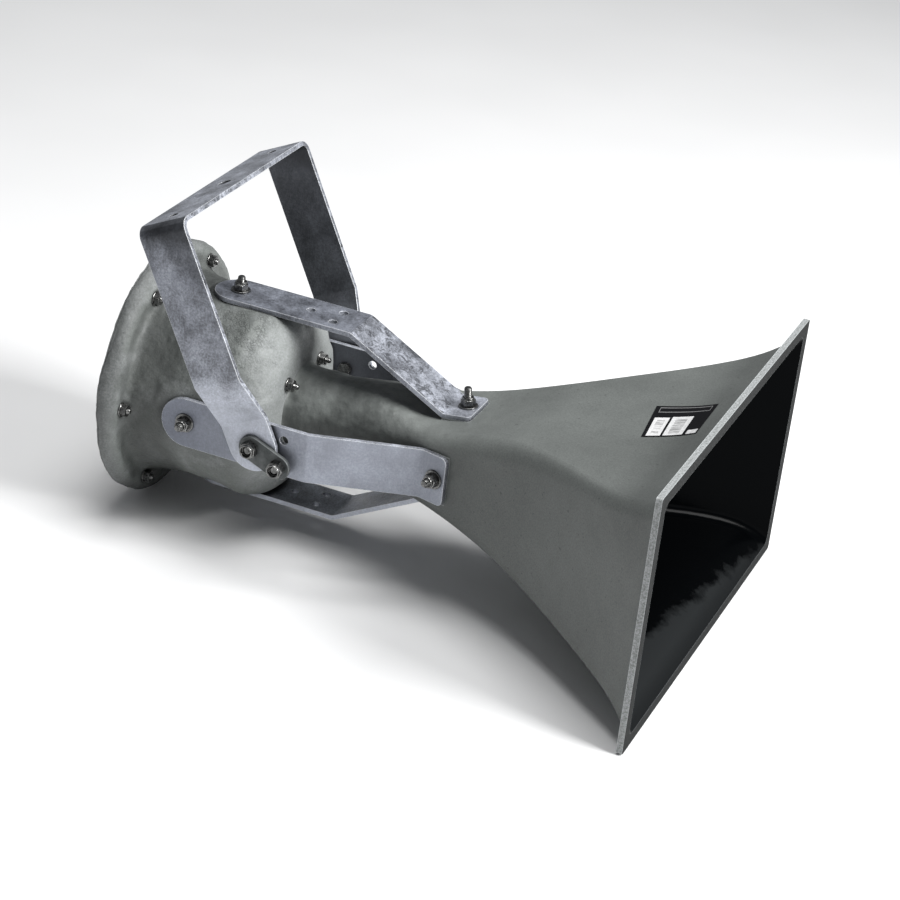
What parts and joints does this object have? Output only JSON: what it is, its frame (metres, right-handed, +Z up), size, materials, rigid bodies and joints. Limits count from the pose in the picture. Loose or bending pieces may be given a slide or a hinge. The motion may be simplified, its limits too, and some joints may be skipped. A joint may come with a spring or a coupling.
{
  "type": "pa horn speaker",
  "caption": "Public-address horn speaker: rectangular flare on a round driver housing, tied by bent straps, with a tilting U-shaped yoke to fix it by.",
  "frame": {"origin": "middle of the bounding box in X and Y, at the height of its lowest point", "axes": "+X across the mouth, to the horn's left as it faces its audience; +Y back along the horn's axis, away from the mouth; +Z up. Seen from the front, the mouth faces -Y."},
  "size_m": [0.445, 0.6355, 0.3528],
  "materials": {
    "horn_gelcoat": "grey-green gelcoat over glass fibre",
    "housing_gelcoat": "grey-green gelcoat, hand laid and lumpy",
    "black_rubber": "black rubber",
    "cork": "cork bonded with rubber",
    "galvanised": "hot-dip galvanised, mottled with age",
    "dark_steel": "dark weathered steel",
    "zinc_hardware": "bright zinc-plated hardware",
    "driver_steel": "blackened steel",
    "cap_metal": "black enamel",
    "ferrite": "dull grey-black ferrite",
    "black_plastic": "black moulding",
    "dome_foil": "pressed aluminium foil",
    "copper": "enamelled copper wire",
    "core_steel": "laminated steel",
    "gland_plastic": "black nylon"
  },
  "bodies": {
    "speaker": {"bracket_screws": "zinc_hardware", "cable_gland": "gland_plastic", "cover_gasket": "black_rubber", "diaphragm": "dome_foil", "diaphragm_ring": "cap_metal", "driver_cap": "cap_metal", "flange_bolts": "zinc_hardware", "flange_nuts": "zinc_hardware", "flange_washers": "zinc_hardware", "front_shell": "housing_gelcoat", "gland_locknut": "gland_plastic", "gland_seal": "black_rubber", "horn": "horn_gelcoat", "link_plate_left": "dark_steel", "link_plate_right": "dark_steel", "lock_bolts": "zinc_hardware", "lock_nuts": "zinc_hardware", "lock_spacers": "zinc_hardware", "magnet": "ferrite", "phase_plug": "black_plastic", "pivot_bolts": "zinc_hardware", "pivot_nuts": "zinc_hardware", "pivot_washers": "zinc_hardware", "pole_piece": "driver_steel", "rear_cover": "housing_gelcoat", "strap_bottom": "galvanised", "strap_front_bolts": "zinc_hardware", "strap_front_nuts": "zinc_hardware", "strap_front_washers": "zinc_hardware", "strap_left": "galvanised", "strap_rear_bolts": "zinc_hardware", "strap_rear_nuts": "zinc_hardware", "strap_rear_washers": "zinc_hardware", "strap_right": "galvanised", "strap_top": "galvanised", "terminal_block": "black_plastic", "throat_gasket": "cork", "throat_nuts": "zinc_hardware", "throat_studs": "zinc_hardware", "throat_washers": "zinc_hardware", "top_plate": "driver_steel", "transformer_bracket": "core_steel", "transformer_core": "core_steel", "transformer_winding": "copper", "voice_coil": "copper"},
    "yoke": {"yoke": "galvanised"}
  },
  "joints": [
    {"name": "yoke_tilt", "type": "hinge", "parent": "speaker", "child": "yoke", "pos_m": [0, 0.12015, 0.1315], "axis": [1, 0, 0], "range_deg": [-38, 60]}
  ]
}
